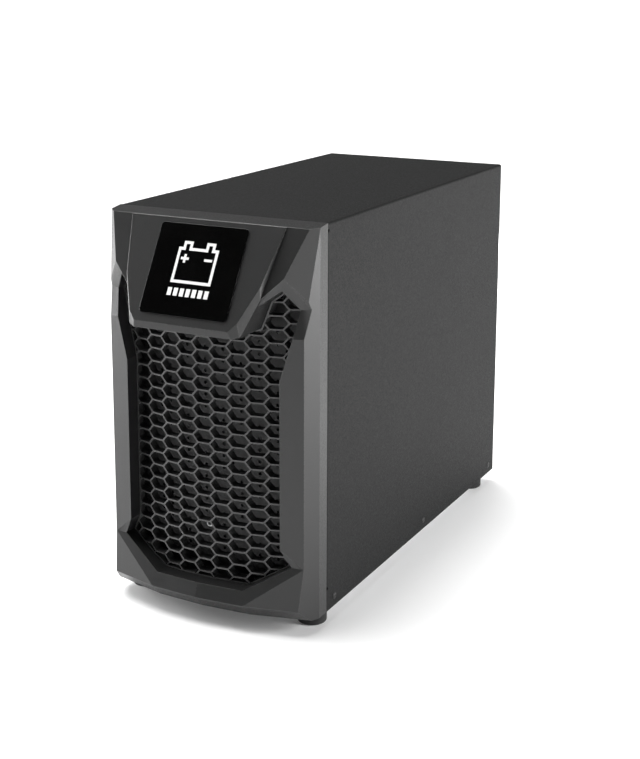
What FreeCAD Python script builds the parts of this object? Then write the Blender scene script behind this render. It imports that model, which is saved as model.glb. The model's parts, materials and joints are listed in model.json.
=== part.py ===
import FreeCAD, Part

import math
import os

from FreeCAD import Vector

# External battery cabinet for a tower uninterruptible power supply.
# Millimetres. X is to the right, Y to the back, Z up. Shapes are drawn with Y = 0 on the seam between the
# plastic bezel and the steel cover, and Z = 0 on the underside of the cover. They are moved on export, so
# that the origin is under the middle of the whole object, on the surface that the feet stand on.

# ---- driving dimensions -------------------------------------------------------------------------------
WIDTH = 190.0
HEIGHT = 317.0
DEPTH = 380.0
FOOT_HEIGHT = 11.5
FOOT_RADIUS = 12.0
STEEL = 1.2
GAP = 0.3
FIT = 0.05
PAST = 1.0
FRONT_REACH = 61.8
REAR_REACH = DEPTH + 10.0
HALF = WIDTH / 2
INNER_HALF = HALF - STEEL - GAP
RIGHT = Vector(1, 0, 0)
BACK = Vector(0, 1, 0)
UP = Vector(0, 0, 1)
ORIGIN_SHIFT = Vector(0, -(REAR_REACH - FRONT_REACH) / 2, FOOT_HEIGHT)

# plastic bezel: wall thicknesses, and the places that set its facets
SKIN = 3.5
WALL = 2.4
LIP_WALL = 1.8
LIP_WALL_BACK = -15.0
FACET_TOP = 314.5
CAP_HALF = 89.5
COLUMN_CORNER = Vector(HALF, -12.5, 0)
RIDGE = Vector(88.6, -26.7, 0)
SLOPE_EDGE = Vector(70.0, -32.0, 0)
FACE_TOP_Y = -18.6
FACE_LEAN = 0.4712
MASK_TOP_Y = -19.5
MASK_LEAN = 0.5618
NOTCH_SHARE = 0.2

# honeycomb grille
BOW_RADIUS = 230.0
BOW_FRONT = -30.0
GRILLE_DEPTH = 8.0
GRILLE_BACK = -13.2
CELL_PITCH_Z = 10.9
CELL_PITCH_X = 15.4
CELL_SLANT = 4.3
STRAND = 1.15

# label panel and print
LABEL_X = 79.0
LABEL_Y = 75.0
LABEL_Z = 277.8
LABEL_THICK = 0.8
LABEL_CORNER = 3.6
PRINT_THICK = 0.2
PRINT_LINE = 2.3
ICON_WIDE = 36.0
ICON_TALL = 29.0
ICON_LOW = -11.0
POST_WIDE = 8.0
POST_TALL = 5.2
POST_X = 10.2
SIGN = 7.0
SIGN_LINE = 2.0
SIGN_X = 10.5
SIGN_DROP = 9.0
BARS = 7
BAR_WIDE = 3.6
BAR_TALL = 6.4
BAR_PITCH = 5.5
BAR_GAP = 4.1

# studs that hold the bezel to the front panel
STUD_POST = 4.0
STUD_RADIUS = 2.5
STUD_LENGTH = 9.0
STUD_HOLE = 2.7
STUDS = [(x, z) for x in (-80.0, 80.0) for z in (70.0, 200.0)]

# cover, chassis and panels
BEND = 2.0
HEM = 8.0
HEM_LOW = 19.5
HEM_TOP = 311.0
RELIEF_RADIUS = 1.3
CHASSIS_FRONT = -8.0
NOSE_HALF = HALF - WALL - GAP
FLANGE = 14.0
PANEL_Y = 1.5
PANEL_TOP = HEIGHT - STEEL - GAP
FRONT_RETURN = 11.0
REAR_RETURN = 14.0
PERF_RADIUS = 1.4
PERF_PITCH_X = 8.4
PERF_PITCH_Z = 10.0
PERF_LOW = 36.0
PERF_TOP = 236.0
PERF_HALF = 66.0
BOSS_X = -7.3
BOSS_Z = 60.5
BOSS_LONG = 12.0
BOSS_RADIUS = 3.2
BOSS_BORE = 1.6
BOSS_SHANK = 2.6
VENT_X = 44.0
VENT_WIDE = 60.0
VENT_TALL = 4.0
VENT_PITCH = 10.0
VENT_LOW = 190.0
VENTS = 11
PLATE_WIDE = 60.0
PLATE_TALL = 36.0
PLATE_THICK = 0.4
PLATE_Z = 156.0

# screws
SCREW_RADIUS = 1.5
SCREW_HEAD = 3.0
HEAD_TALL = 1.8
SCREW_PLAY = 0.2
SIDE_HEAD = 2.6
SIDE_HEAD_TALL = 0.8
SIDE_SCREWS_Y = (14.0, 197.0, 366.0)
SIDE_SCREW_Z = 8.6
SCREW_LONG = 6.0
TRAY_SCREW_LONG = 3.0

# feet
FOOT_X = 80.0
FOOT_Y = 4.0
FOOT_BACK_Y = 352.0
TREAD_CHAMFER = 1.2
RECESS_RADIUS = 4.5
RECESS_DEEP = 7.5
FOOT_SCREW_RADIUS = 2.0
FOOT_SCREW_HEAD = 4.0
FOOT_SCREW_LONG = 7.5
NOTCH_HALF = 3.0
NOTCH_TOP = 5.0

# batteries: sealed 12 V blocks, three tiers of four
BLOCK_X = 151.0
BLOCK_Y = 65.0
BLOCK_Z = 94.0
BLOCK_GAP = 2.0
LID_TALL = 6.0
LID_STEP = 1.0
TIERS = 3
PER_TIER = 4
BANK_FRONT = 22.0
BANK_BACK = BANK_FRONT + PER_TIER * BLOCK_Y + (PER_TIER - 1) * BLOCK_GAP
FOAM = 2.0
FOAM_HALF = 70.0
FOAM_INSET = 3.0
TIER_PITCH = 104.2
TAB_X = 60.0
TAB_WIDE = 6.3
TAB_THICK = 0.8
TAB_HEIGHT = 6.0
BOOT = 9.0
LINK = 3.6
STOP_HALF = 50.0
STOP_TALL = 24.0
STOP_FOOT = 4.0

# trays that carry the upper tiers
FIRST_SHELF = STEEL
TRAY_HALF = 80.0
TRAY_FRONT = 16.0
TRAY_BACK = BANK_BACK + 6.0
LEG_INSET = 20.0
LUG = 10.0
LUG_SCREW_INSET = 40.0

# breaker at the rear
BREAKER_X = -48.0
BREAKER_Z = 74.0
BREAKER_WIDE = 36.0
BREAKER_TALL = 52.0
BREAKER_DEEP = 56.0
BREAKER_FACE = DEPTH - BREAKER_DEEP
NOSE_TALL = 28.0
NOSE_PROUD = 1.5
FRAME_WIDE = 62.0
FRAME_THICK = 1.5
FRAME_CORNER = 3.0
FRAME_SCREW_X = 25.0
FRAME_SCREW_Z = 18.0
LEVER_RADIUS = 9.0
LEVER_PIVOT_Y = DEPTH - 4.0
LEVER_REACH = 13.0
LEVER_THICK = 5.0
LEVER_REST = -22.0
DRUM_WIDE = 28.0
PIN_RADIUS = 1.5
PIN_INSET = 1.0

# battery sockets at the rear
SOCKET_X = 42.0
SOCKET_Z = (62.0, 108.0)
SOCKET_WIDE = 50.0
SOCKET_TALL = 26.0
SOCKET_FLANGE = 76.0
SOCKET_FLANGE_THICK = 2.0
SOCKET_SCREW_X = 32.0
CHAMBER = 18.0
CHAMBER_X = 11.5
CHAMBER_BACK = DEPTH - 14.0
CONTACT_WIDE = 10.0
CONTACT_LONG = 10.0
CONTACT_THICK = 3.0
BUS_Y = DEPTH - 26.0
BUS_THICK = 1.5
BUS_WIDE = 8.0
BUS_SPARE = 6.0

# earth stud at the rear
EARTH_X = -78.0
EARTH_Z = 30.0
EARTH_RADIUS = 2.5
EARTH_ROOT = 9.0
COLLAR_RADIUS = 5.0
COLLAR_THICK = 2.0
NUT_ACROSS = 8.0
NUT_THICK = 3.5

# wiring and the string fuse
LEAD_DIAMETER = 5.0
LEAD_BEND = 9.0
LEAD_FRONT_Y = 9.5
LEAD_SIDE_X = -86.5
LEAD_START = 10.0
POLE_X = (BREAKER_X - 9.0, BREAKER_X + 9.0)
POLE_Z = (BREAKER_Z - 16.0, BREAKER_Z + 16.0)
FUSE_Y = 311.0
FUSE_Z = 24.0
FUSE_LONG = 34.0
FUSE_RADIUS = 7.0
CAP_RADIUS = 7.6
CAP_LONG = 7.0
CAP_INSET = 2.0
HOLDER_LONG = 44.0
HOLDER_WIDE = 18.0
HOLDER_TALL = 6.0
SADDLE = 6.0
SADDLE_X = 11.5

shapes = {}


def keep(node, shape):
    """Store a finished piece under its node name."""
    shapes[node] = shape


def block(x0, x1, y0, y1, z0, z1):
    """Box between two corners."""
    return Part.makeBox(x1 - x0, y1 - y0, z1 - z0, Vector(x0, y0, z0))


def rod(x, y, z, radius, length, axis=Vector(0, 0, 1)):
    """Cylinder from a point along an axis."""
    return Part.makeCylinder(radius, length, Vector(x, y, z), axis)


def slab(x, z, wide, tall, y0, y1):
    """Rectangle centred on x, z that reaches from one depth to another."""
    return block(x - wide / 2, x + wide / 2, y0, y1, z - tall / 2, z + tall / 2)


def joined(parts):
    """One solid out of pieces that touch or overlap."""
    first, *rest = parts
    return first.fuse(rest).removeSplitter()


def mirrored(point):
    """The same point on the left half."""
    return Vector(-point.x, point.y, point.z)


def face_of(points):
    """Plane face through a closed outline."""
    return Part.Face(Part.makePolygon(list(points) + [points[0]]))


def edges_along(shape, direction):
    """Straight edges that run along a direction."""
    return [e for e in shape.Edges if abs(e.tangentAt(e.FirstParameter).dot(direction)) > 0.9]


def meeting_y(a, b, c, x, z):
    """Y where the plane through a, b and c passes over the place x, z."""
    normal = (b - a).cross(c - a)
    return a.y - (normal.x * (x - a.x) + normal.z * (z - a.z)) / normal.y


def in_plane(a, b, c, x, z):
    """Point of the plane through a, b and c over the place x, z."""
    return Vector(x, meeting_y(a, b, c, x, z), z)


def behind(points, back):
    """Solid between a facet and the plane Y = back."""
    far = [Vector(p.x, back, p.z) for p in points]
    count = len(points)
    sides = [face_of([points[i], points[(i + 1) % count], far[(i + 1) % count], far[i]])
             for i in range(count)]
    return Part.Solid(Part.Shell([face_of(points), face_of(far)] + sides))


def both_sides(facets):
    """Each facet of the right half with its mirror image."""
    return facets + [[mirrored(p) for p in reversed(facet)] for facet in facets]


def tube(route, diameter):
    """Round tube of straight runs and tangent arcs along a route of points."""
    points = [Vector(*q) for q in route]
    edges = []
    start = points[0]
    for before, corner, after in zip(points, points[1:], points[2:]):
        into = (corner - before).normalize()
        out = (after - corner).normalize()
        half_turn = into.getAngle(out) / 2
        shorter = min(before.distanceToPoint(corner), corner.distanceToPoint(after))
        radius = min(LEAD_BEND, 0.45 * shorter / math.tan(half_turn))
        leave = corner - into * radius * math.tan(half_turn)
        arrive = corner + out * radius * math.tan(half_turn)
        middle = corner + (out - into).normalize() * (radius / math.cos(half_turn) - radius)
        edges.append(Part.LineSegment(start, leave).toShape())
        edges.append(Part.Arc(leave, middle, arrive).toShape())
        start = arrive
    edges.append(Part.LineSegment(start, points[-1]).toShape())
    heading = (points[1] - points[0]).normalize()
    ring = Part.Wire(Part.makeCircle(diameter / 2, points[0], heading))
    return Part.Wire(edges).makePipeShell([ring], True, False)


# ---- the bezel's corner points, right half ---------------------------------------------------------------

def face_y(z):
    """Y of the leaning upper face of the bezel at a height."""
    return FACE_TOP_Y - FACE_LEAN * (FACET_TOP - z)


def mask_y(z):
    """Y of the console mask's front plane at a height."""
    return MASK_TOP_Y - MASK_LEAN * (FACET_TOP - z)


def column_point(x, z):
    """Point on the outer column facet, a plane that stands upright."""
    run = (COLUMN_CORNER.y - RIDGE.y) / (COLUMN_CORNER.x - RIDGE.x)
    return Vector(x, COLUMN_CORNER.y - run * (COLUMN_CORNER.x - x), z)


def slope_point(x, z):
    """Point on the facet between the ridge and the opening, also upright."""
    run = (RIDGE.y - SLOPE_EDGE.y) / (RIDGE.x - SLOPE_EDGE.x)
    return Vector(x, RIDGE.y - run * (RIDGE.x - x), z)


def three_planes(*planes):
    """Point that three planes share, each plane given by three of its points."""
    rows = []
    for a, b, c in planes:
        normal = (b - a).cross(c - a)
        rows.append((normal, normal.dot(a)))
    (n1, d1), (n2, d2), (n3, d3) = rows
    scale = n1.dot(n2.cross(n3))
    return (n2.cross(n3) * d1 + n3.cross(n1) * d2 + n1.cross(n2) * d3) * (1 / scale)


def level(z):
    """Level plane at a height, as three points."""
    return Vector(0, 0, z), Vector(1, 0, z), Vector(0, 1, z)


def bezel_points():
    """Named corner points of the bezel's facets."""
    p = {}
    p["corner_top"] = column_point(HALF, FACET_TOP)
    p["corner_low"] = column_point(HALF, 0)
    p["apex"] = Vector(76.0, face_y(278.0), 278.0)
    p["cheek_low"] = column_point(90.4, 259.4)
    p["ear_out"] = column_point(91.7, 252.9)
    p["ridge_top"] = column_point(RIDGE.x, 230.6)
    p["ear_low"] = slope_point(79.9, 230.6)
    face = (p["apex"], mirrored(p["apex"]), Vector(0, face_y(FACET_TOP), FACET_TOP))
    cheek = (p["corner_top"], p["cheek_low"], p["apex"])
    column = (p["corner_top"], p["corner_low"], p["ridge_top"])
    p["brow"] = three_planes(cheek, face, level(FACET_TOP))
    p["ear_in"] = in_plane(p["ear_out"], p["ridge_top"], p["ear_low"], 83.4, 252.5)
    p["ear_top"] = in_plane(p["apex"], p["ear_out"], p["ear_in"], 72.6, 267.8)
    p["side_top"] = slope_point(SLOPE_EDGE.x, 196.5)
    p["side_low"] = slope_point(SLOPE_EDGE.x, 60.0)
    p["ridge_low"] = column_point(RIDGE.x, 45.0)
    p["chin"] = Vector(42.4, -43.8, 11.5)
    p["chin_mid"] = Vector(0, -46.5, 11.5)
    p["lip"] = Vector(40.1, -39.5, 22.4)
    p["lip_mid"] = in_plane(p["chin"], p["chin_mid"], p["lip"], 0, 22.4)
    p["lip_side"] = in_plane(p["ridge_low"], p["chin"], p["lip"], 78.0, 45.0)
    p["ridge_foot"] = column_point(86.3, 11.0)
    p["keel"] = Vector(42.4, -32.3, 0)
    p["keel_mid"] = in_plane(p["chin"], p["chin_mid"], p["keel"], 0, 0)
    bevel = (p["chin"], p["ridge_foot"], p["keel"])
    p["keel_out"] = three_planes(bevel, column, level(0))
    # lower outline of the console
    p["jaw"] = Vector(49.7, face_y(234.5), 234.5)
    p["jaw_mid"] = Vector(43.5, face_y(233.2), 233.2)
    p["mask_side"] = Vector(60.2, mask_y(272.0), 272.0)
    p["mask_jaw"] = Vector(48.3, mask_y(245.5), 245.5)
    p["mask_chin"] = Vector(42.0, mask_y(239.2), 239.2)
    p["mask_top"] = Vector(70.0, mask_y(FACET_TOP), FACET_TOP)
    flank = (p["mask_side"], p["mask_jaw"], p["jaw"])
    p["groove"] = three_planes(flank, face, level(262.4))
    p["mask_heel"] = in_plane(p["mask_jaw"], p["mask_chin"], p["jaw"], p["jaw_mid"].x, p["jaw_mid"].z)
    step = p["groove"] + (p["jaw"] - p["groove"]) * NOTCH_SHARE
    p["notch"] = in_plane(p["apex"], p["groove"], p["ear_top"], step.x, step.z)
    return p


def bezel_facets(p):
    """Outlines of all front facets."""
    upper = [p[n] for n in ("brow", "apex", "groove", "jaw", "jaw_mid")]
    centre = upper + [mirrored(q) for q in reversed(upper)]
    names = [
        ("brow", "corner_top", "cheek_low", "apex"),
        ("corner_top", "corner_low", "keel_out", "ridge_foot", "ridge_low", "ridge_top", "ear_out",
         "cheek_low"),
        ("apex", "cheek_low", "ear_out"),
        ("apex", "ear_out", "ear_in", "ear_top"),
        ("apex", "ear_top", "notch", "groove"),
        ("ear_out", "ridge_top", "ear_low", "ear_in"),
        ("ridge_top", "ridge_low", "side_low", "side_top", "ear_low"),
        ("ridge_low", "lip_side", "side_low"),
        ("ridge_low", "chin", "lip", "lip_side"),
        ("ridge_low", "ridge_foot", "chin"),
        ("chin", "chin_mid", "lip_mid", "lip"),
        ("ridge_foot", "keel_out", "keel", "chin"),
        ("chin", "keel", "keel_mid", "chin_mid"),
    ]
    return [centre] + both_sides([[p[n] for n in facet] for facet in names])


def opening_outline(p):
    """Outline of the grille opening, anticlockwise from the middle of the lower lip."""
    right = [p[n] for n in ("lip", "lip_side", "side_low", "side_top", "ear_low", "ear_in", "ear_top",
                            "notch", "jaw", "jaw_mid")]
    loop = [p["lip_mid"]] + right + [mirrored(q) for q in reversed(right)]
    return [Vector(q.x, 0, q.z) for q in loop]


def opening_prism(p, y0, y1, grow=0.0):
    """Solid that fills the opening between two depths, grown or shrunk all round."""
    outline = Part.makePolygon(opening_outline(p) + [opening_outline(p)[0]])
    face = Part.Face(outline)
    if grow:
        face = face.makeOffset2D(grow, 2)
    face.translate(Vector(0, y0, 0))
    return face.extrude(Vector(0, y1 - y0, 0))


# ---- plastic front ---------------------------------------------------------------------------------------

def top_cap():
    """Wedge between the facets' top edge and the seam with the cover."""
    half = [(HALF, 0), (HALF, COLUMN_CORNER.y), (CAP_HALF, FACE_TOP_Y)]
    outline = [Vector(x, y, FACET_TOP) for x, y in half]
    outline += [mirrored(q) for q in reversed(outline)]
    slab_top = face_of(outline).extrude(Vector(0, 0, HEIGHT - FACET_TOP))
    slope = face_of([Vector(-WIDTH, 0, HEIGHT), Vector(-WIDTH, FACE_TOP_Y, FACET_TOP),
                     Vector(-WIDTH, FACE_TOP_Y, 2 * HEIGHT), Vector(-WIDTH, 0, 2 * HEIGHT)])
    return slab_top.cut(slope.extrude(Vector(2 * WIDTH, 0, 0)))


def front_bezel(p):
    """Thin faceted moulding with side flanges, a wall round the opening and four push-in studs."""
    facets = bezel_facets(p)
    solid = joined([behind(f, 0) for f in facets] + [top_cap()])
    inside = joined([behind([q + Vector(0, SKIN, 0) for q in f], DEPTH) for f in facets])
    room = block(-HALF + WALL, HALF - WALL, -HALF, HEIGHT, WALL, FACET_TOP - GAP)
    room = room.cut(opening_prism(p, -HALF, LIP_WALL_BACK, LIP_WALL))
    shell = solid.cut(inside.common(room))
    # the floor of the moulding stops short of the feet
    floor_end = FOOT_Y - FOOT_RADIUS - STEEL
    shell = shell.cut(block(-HALF + WALL, HALF - WALL, floor_end, PAST, -PAST, 2 * WALL))
    return joined([shell] + [stud(x, z) for x, z in STUDS])


def stud(x, z):
    """Push-in stud on a post that reaches back from the bezel's skin to the steel panel."""
    front = slope_point(abs(x), z).y + SKIN / 2
    post = rod(x, front, z, STUD_POST, PANEL_Y - GAP - front, BACK)
    return post.fuse(rod(x, PANEL_Y - GAP, z, STUD_RADIUS, STUD_LENGTH, BACK))


def console_mask(p):
    """Raised panel that thickens downwards, with chamfered flanks, seated on the bezel's upper face."""
    base_top = Vector(p["mask_top"].x, face_y(FACET_TOP), FACET_TOP)
    rim = [p["mask_top"], p["mask_side"], p["mask_jaw"], p["mask_chin"]]
    centre = rim + [mirrored(q) for q in reversed(rim)]
    heel_back = Vector(p["mask_heel"].x, p["jaw_mid"].y, p["jaw_mid"].z)
    flanks = [
        [p["mask_top"], base_top, p["mask_side"]],
        [base_top, p["groove"], p["mask_side"]],
        [p["mask_side"], p["groove"], p["jaw"], p["mask_jaw"]],
        [p["mask_jaw"], p["jaw"], p["mask_heel"], p["mask_chin"]],
        [p["jaw"], heel_back, p["mask_heel"]],
    ]
    low = [p["mask_chin"], p["mask_heel"], mirrored(p["mask_heel"]), mirrored(p["mask_chin"])]
    under = [p["mask_heel"], heel_back, mirrored(heel_back), mirrored(p["mask_heel"])]
    top = [p["mask_top"], base_top, mirrored(base_top), mirrored(p["mask_top"])]
    back = [base_top, p["groove"], p["jaw"], heel_back]
    back += [mirrored(q) for q in reversed(back)]
    outlines = [centre, low, under, top, back] + both_sides(flanks)
    return Part.Solid(Part.Shell([face_of(q) for q in outlines]))


def on_mask(shape, proud=0.0):
    """Lay a shape drawn flat (X right, Y up the slope, Z out) on the mask's front plane."""
    lean = math.degrees(math.atan(MASK_LEAN))
    laid = shape.copy()
    laid.rotate(Vector(0, 0, 0), Vector(1, 0, 0), 90 - lean)
    laid.translate(Vector(0, mask_y(LABEL_Z), LABEL_Z))
    out = Vector(0, -math.cos(math.radians(lean)), math.sin(math.radians(lean)))
    laid.translate(out * proud)
    return laid


def label_panel():
    """Glossy plate with rounded corners."""
    plate = block(-LABEL_X / 2, LABEL_X / 2, -LABEL_Y / 2, LABEL_Y / 2, 0, LABEL_THICK)
    return on_mask(plate.makeFillet(LABEL_CORNER, edges_along(plate, UP)))


def ink(x, y, wide, tall):
    """Printed rectangle about a point of the label."""
    return block(x - wide / 2, x + wide / 2, y - tall / 2, y + tall / 2, 0, PRINT_THICK)


def pictogram():
    """Battery outline with two posts, a plus, a minus and a row of charge bars, as raised print."""
    middle = ICON_LOW + ICON_TALL / 2
    high = ICON_LOW + ICON_TALL
    post_y = high + (POST_TALL - PRINT_LINE) / 2
    post_high = POST_TALL + PRINT_LINE
    outer = [ink(0, middle, ICON_WIDE, ICON_TALL)]
    outer += [ink(s * POST_X, post_y, POST_WIDE, post_high) for s in (-1, 1)]
    inner = [ink(0, middle, ICON_WIDE - 2 * PRINT_LINE, ICON_TALL - 2 * PRINT_LINE)]
    inner += [ink(s * POST_X, post_y - PRINT_LINE, POST_WIDE - 2 * PRINT_LINE, post_high)
              for s in (-1, 1)]
    outline = joined(outer).cut(inner)
    sign_y = high - SIGN_DROP
    plus = joined([ink(-SIGN_X, sign_y, SIGN, SIGN_LINE), ink(-SIGN_X, sign_y, SIGN_LINE, SIGN)])
    minus = ink(SIGN_X, sign_y, SIGN, SIGN_LINE)
    bar_y = ICON_LOW - BAR_GAP - BAR_TALL / 2
    charge = [ink((i - (BARS - 1) / 2) * BAR_PITCH, bar_y, BAR_WIDE, BAR_TALL) for i in range(BARS)]
    return on_mask(Part.makeCompound([outline, plus, minus] + charge), LABEL_THICK)


def cell(x, z):
    """Outline of one stretched hexagon cell."""
    rise = (CELL_PITCH_Z - STRAND) / 2
    flat = (CELL_PITCH_X - CELL_SLANT - STRAND) / 2
    side = flat + CELL_SLANT
    corners = [(-side, 0), (-flat, -rise), (flat, -rise), (side, 0), (flat, rise), (-flat, rise)]
    return face_of([Vector(x + dx, 0, z + dz) for dx, dz in corners])


def honeycomb_grille(p):
    """Bowed honeycomb plate with a skirt and a flange that seats behind the opening's wall."""
    columns = int(HALF // CELL_PITCH_X)
    rows = int(HEIGHT // CELL_PITCH_Z) + 1
    holes = []
    for column in range(-columns, columns + 1):
        stagger = CELL_PITCH_Z / 2 if column % 2 else 0
        for row in range(rows):
            hole = cell(column * CELL_PITCH_X, row * CELL_PITCH_Z + stagger)
            hole.translate(Vector(0, -HALF, 0))
            holes.append(hole.extrude(Vector(0, HALF, 0)))
    web = opening_prism(p, -HALF, 0, -GAP).cut(Part.makeCompound(holes))
    outer = rod(0, BOW_FRONT + BOW_RADIUS, 0, BOW_RADIUS, HEIGHT)
    inner = rod(0, BOW_FRONT + BOW_RADIUS, 0, BOW_RADIUS - GRILLE_DEPTH, HEIGHT)
    web = web.common(outer.cut(inner))
    middle = opening_prism(p, -HALF, 0, -GAP - STRAND)
    skirt = opening_prism(p, BOW_FRONT, GRILLE_BACK, -GAP).common(outer).cut(middle)
    flange = opening_prism(p, LIP_WALL_BACK + GAP, GRILLE_BACK, LIP_WALL).cut(middle)
    flange = flange.cut([rod(x, -HALF, z, STUD_POST + GAP, HALF, BACK) for x, z in STUDS])
    return joined([web, skirt, flange])


# ---- steelwork -------------------------------------------------------------------------------------------

def outer_cover():
    """Folded sheet: a top and two sides with rounded bends, and a hem down each side's front edge."""
    outline = block(-HALF, HALF, 0, DEPTH, 0, HEIGHT)
    bends = [e for e in edges_along(outline, BACK) if e.CenterOfMass.z > HEIGHT - PAST]
    outline = outline.makeFillet(BEND, bends)
    sheet = outline.cut(block(-HALF + STEEL, HALF - STEEL, -PAST, DEPTH + PAST, -PAST, HEIGHT - STEEL))
    hems = [block(-HALF, -HALF + HEM, 0, STEEL, HEM_LOW, HEM_TOP),
            block(HALF - HEM, HALF, 0, STEEL, HEM_LOW, HEM_TOP)]
    holes = [rod(-WIDTH, y, SIDE_SCREW_Z, SCREW_RADIUS + SCREW_PLAY, 2 * WIDTH, RIGHT)
             for y in SIDE_SCREWS_Y]
    reliefs = [rod(-WIDTH, STEEL, z, RELIEF_RADIUS, 2 * WIDTH, RIGHT) for z in (HEM_LOW, HEM_TOP)]
    return joined([sheet] + hems).cut(holes + reliefs + [outside_of_fold(s) for s in (-1, 1)])


def outside_of_fold(side):
    """What the bend of a hem leaves empty at the corner between the side and the front edge."""
    centre = HALF - BEND
    corner = block(centre, HALF + PAST, -PAST, BEND, HEM_LOW, HEM_TOP)
    corner = corner.cut(rod(centre, BEND, HEM_LOW, BEND, HEM_TOP - HEM_LOW))
    return corner if side > 0 else corner.mirror(Vector(0, 0, 0), RIGHT)


def side_flanges(y0, y1, z0, z1):
    """Upright strips against the inside of both sides of the cover."""
    return [block(-INNER_HALF, -INNER_HALF + STEEL, y0, y1, z0, z1),
            block(INNER_HALF - STEEL, INNER_HALF, y0, y1, z0, z1)]


def base_chassis():
    """Floor with a narrower nose inside the bezel, and side flanges that the cover screws into."""
    floor_sheet = block(-INNER_HALF, INNER_HALF, GAP, DEPTH, 0, STEEL)
    nose = block(-NOSE_HALF, NOSE_HALF, CHASSIS_FRONT, GAP, 0, STEEL)
    sides = side_flanges(PANEL_Y + STEEL + GAP, DEPTH - STEEL - GAP, 0, FLANGE)
    tapped = [rod(-WIDTH, y, SIDE_SCREW_Z, SCREW_RADIUS + FIT, 2 * WIDTH, RIGHT) for y in SIDE_SCREWS_Y]
    feet_holes = [rod(x, y, -PAST, FOOT_SCREW_RADIUS + 2 * FIT, 2 * STEEL + PAST) for x, y in foot_places()]
    tray_holes = [rod(x, y, -PAST, SCREW_RADIUS + SCREW_PLAY, 2 * STEEL + PAST)
                  for x, y in tray_screw_places()]
    return joined([floor_sheet, nose] + sides).cut(tapped + feet_holes + tray_holes)


def foot_places():
    """Centres of the four feet."""
    return [(x, y) for x in (-FOOT_X, FOOT_X) for y in (FOOT_Y, FOOT_BACK_Y)]


def tray_screw_places():
    """Screws through the outward lugs of the trays' legs."""
    x = TRAY_HALF + LUG / 2
    return [(s * x, y) for s in (-1, 1) for y in (BANK_FRONT + LUG_SCREW_INSET, BANK_BACK - LUG_SCREW_INSET)]


def perforations():
    """Staggered round holes over the middle of the front panel."""
    holes = []
    columns = int(PERF_HALF // PERF_PITCH_X)
    for column in range(-columns, columns + 1):
        z = PERF_LOW + (PERF_PITCH_Z / 2 if column % 2 else 0)
        while z < PERF_TOP:
            holes.append(rod(column * PERF_PITCH_X, 0, z, PERF_RADIUS, PANEL_Y + 2 * STEEL, BACK))
            z += PERF_PITCH_Z
    return Part.makeCompound(holes)


def front_panel():
    """Perforated steel panel behind the grille, with side returns and a hole for the clinch nut."""
    sheet = block(-INNER_HALF, INNER_HALF, PANEL_Y, PANEL_Y + STEEL, STEEL, PANEL_TOP)
    sheet = joined([sheet] + side_flanges(PANEL_Y, PANEL_Y + FRONT_RETURN, FLANGE + GAP, PANEL_TOP))
    through = PANEL_Y + 2 * STEEL
    holes = [rod(x, 0, z, STUD_HOLE, through, BACK) for x, z in STUDS]
    holes += [slab(s * FOOT_X, 0, 2 * NOTCH_HALF, 2 * NOTCH_TOP, 0, through) for s in (-1, 1)]
    holes.append(rod(BOSS_X, 0, BOSS_Z, BOSS_SHANK + FIT, through, BACK))
    around = rod(BOSS_X, 0, BOSS_Z, BOSS_RADIUS, through, BACK)
    return sheet.cut(perforations().cut(around)).cut(holes)


def clinch_nut():
    """Long round nut pressed into the front panel, with a blind bore open to the front."""
    barrel = rod(BOSS_X, PANEL_Y - BOSS_LONG, BOSS_Z, BOSS_RADIUS, BOSS_LONG, BACK)
    shank = rod(BOSS_X, PANEL_Y, BOSS_Z, BOSS_SHANK, STEEL, BACK)
    bore = rod(BOSS_X, PANEL_Y - BOSS_LONG, BOSS_Z, BOSS_BORE, BOSS_LONG - PAST, BACK)
    return barrel.fuse(shank).cut(bore)


def rear_panel():
    """Rear sheet with returns, vent slots and cut-outs for the fittings."""
    inside = DEPTH - STEEL
    sheet = block(-INNER_HALF, INNER_HALF, inside, DEPTH, STEEL, PANEL_TOP)
    returns = side_flanges(DEPTH - REAR_RETURN, DEPTH, FLANGE + GAP, PANEL_TOP)
    returns.append(block(-INNER_HALF, INNER_HALF, DEPTH - REAR_RETURN, DEPTH, PANEL_TOP - STEEL, PANEL_TOP))
    y0, y1 = inside - PAST, DEPTH + PAST
    cuts = [slab(s * VENT_X, VENT_LOW + row * VENT_PITCH, VENT_WIDE, VENT_TALL, y0, y1)
            for s in (-1, 1) for row in range(VENTS)]
    cuts.append(slab(BREAKER_X, BREAKER_Z, BREAKER_WIDE + 2 * GAP, BREAKER_TALL + 2 * GAP, y0, y1))
    cuts += [slab(SOCKET_X, z, SOCKET_WIDE + 2 * GAP, SOCKET_TALL + 2 * GAP, y0, y1) for z in SOCKET_Z]
    cuts.append(rod(EARTH_X, y0, EARTH_Z, EARTH_RADIUS + 2 * FIT, y1 - y0, BACK))
    cuts += [rod(x, y0, z, SCREW_RADIUS + SCREW_PLAY, y1 - y0, BACK)
             for x, z in breaker_screw_places() + socket_screw_places()]
    return joined([sheet] + returns).cut(cuts)


def breaker_screw_places():
    """Screws of the breaker's mounting frame."""
    return [(BREAKER_X + s * FRAME_SCREW_X, BREAKER_Z + t * FRAME_SCREW_Z) for s in (-1, 1) for t in (-1, 1)]


def socket_screw_places():
    """Screws of the sockets' flanges."""
    return [(SOCKET_X + s * SOCKET_SCREW_X, z) for s in (-1, 1) for z in SOCKET_Z]


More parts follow.
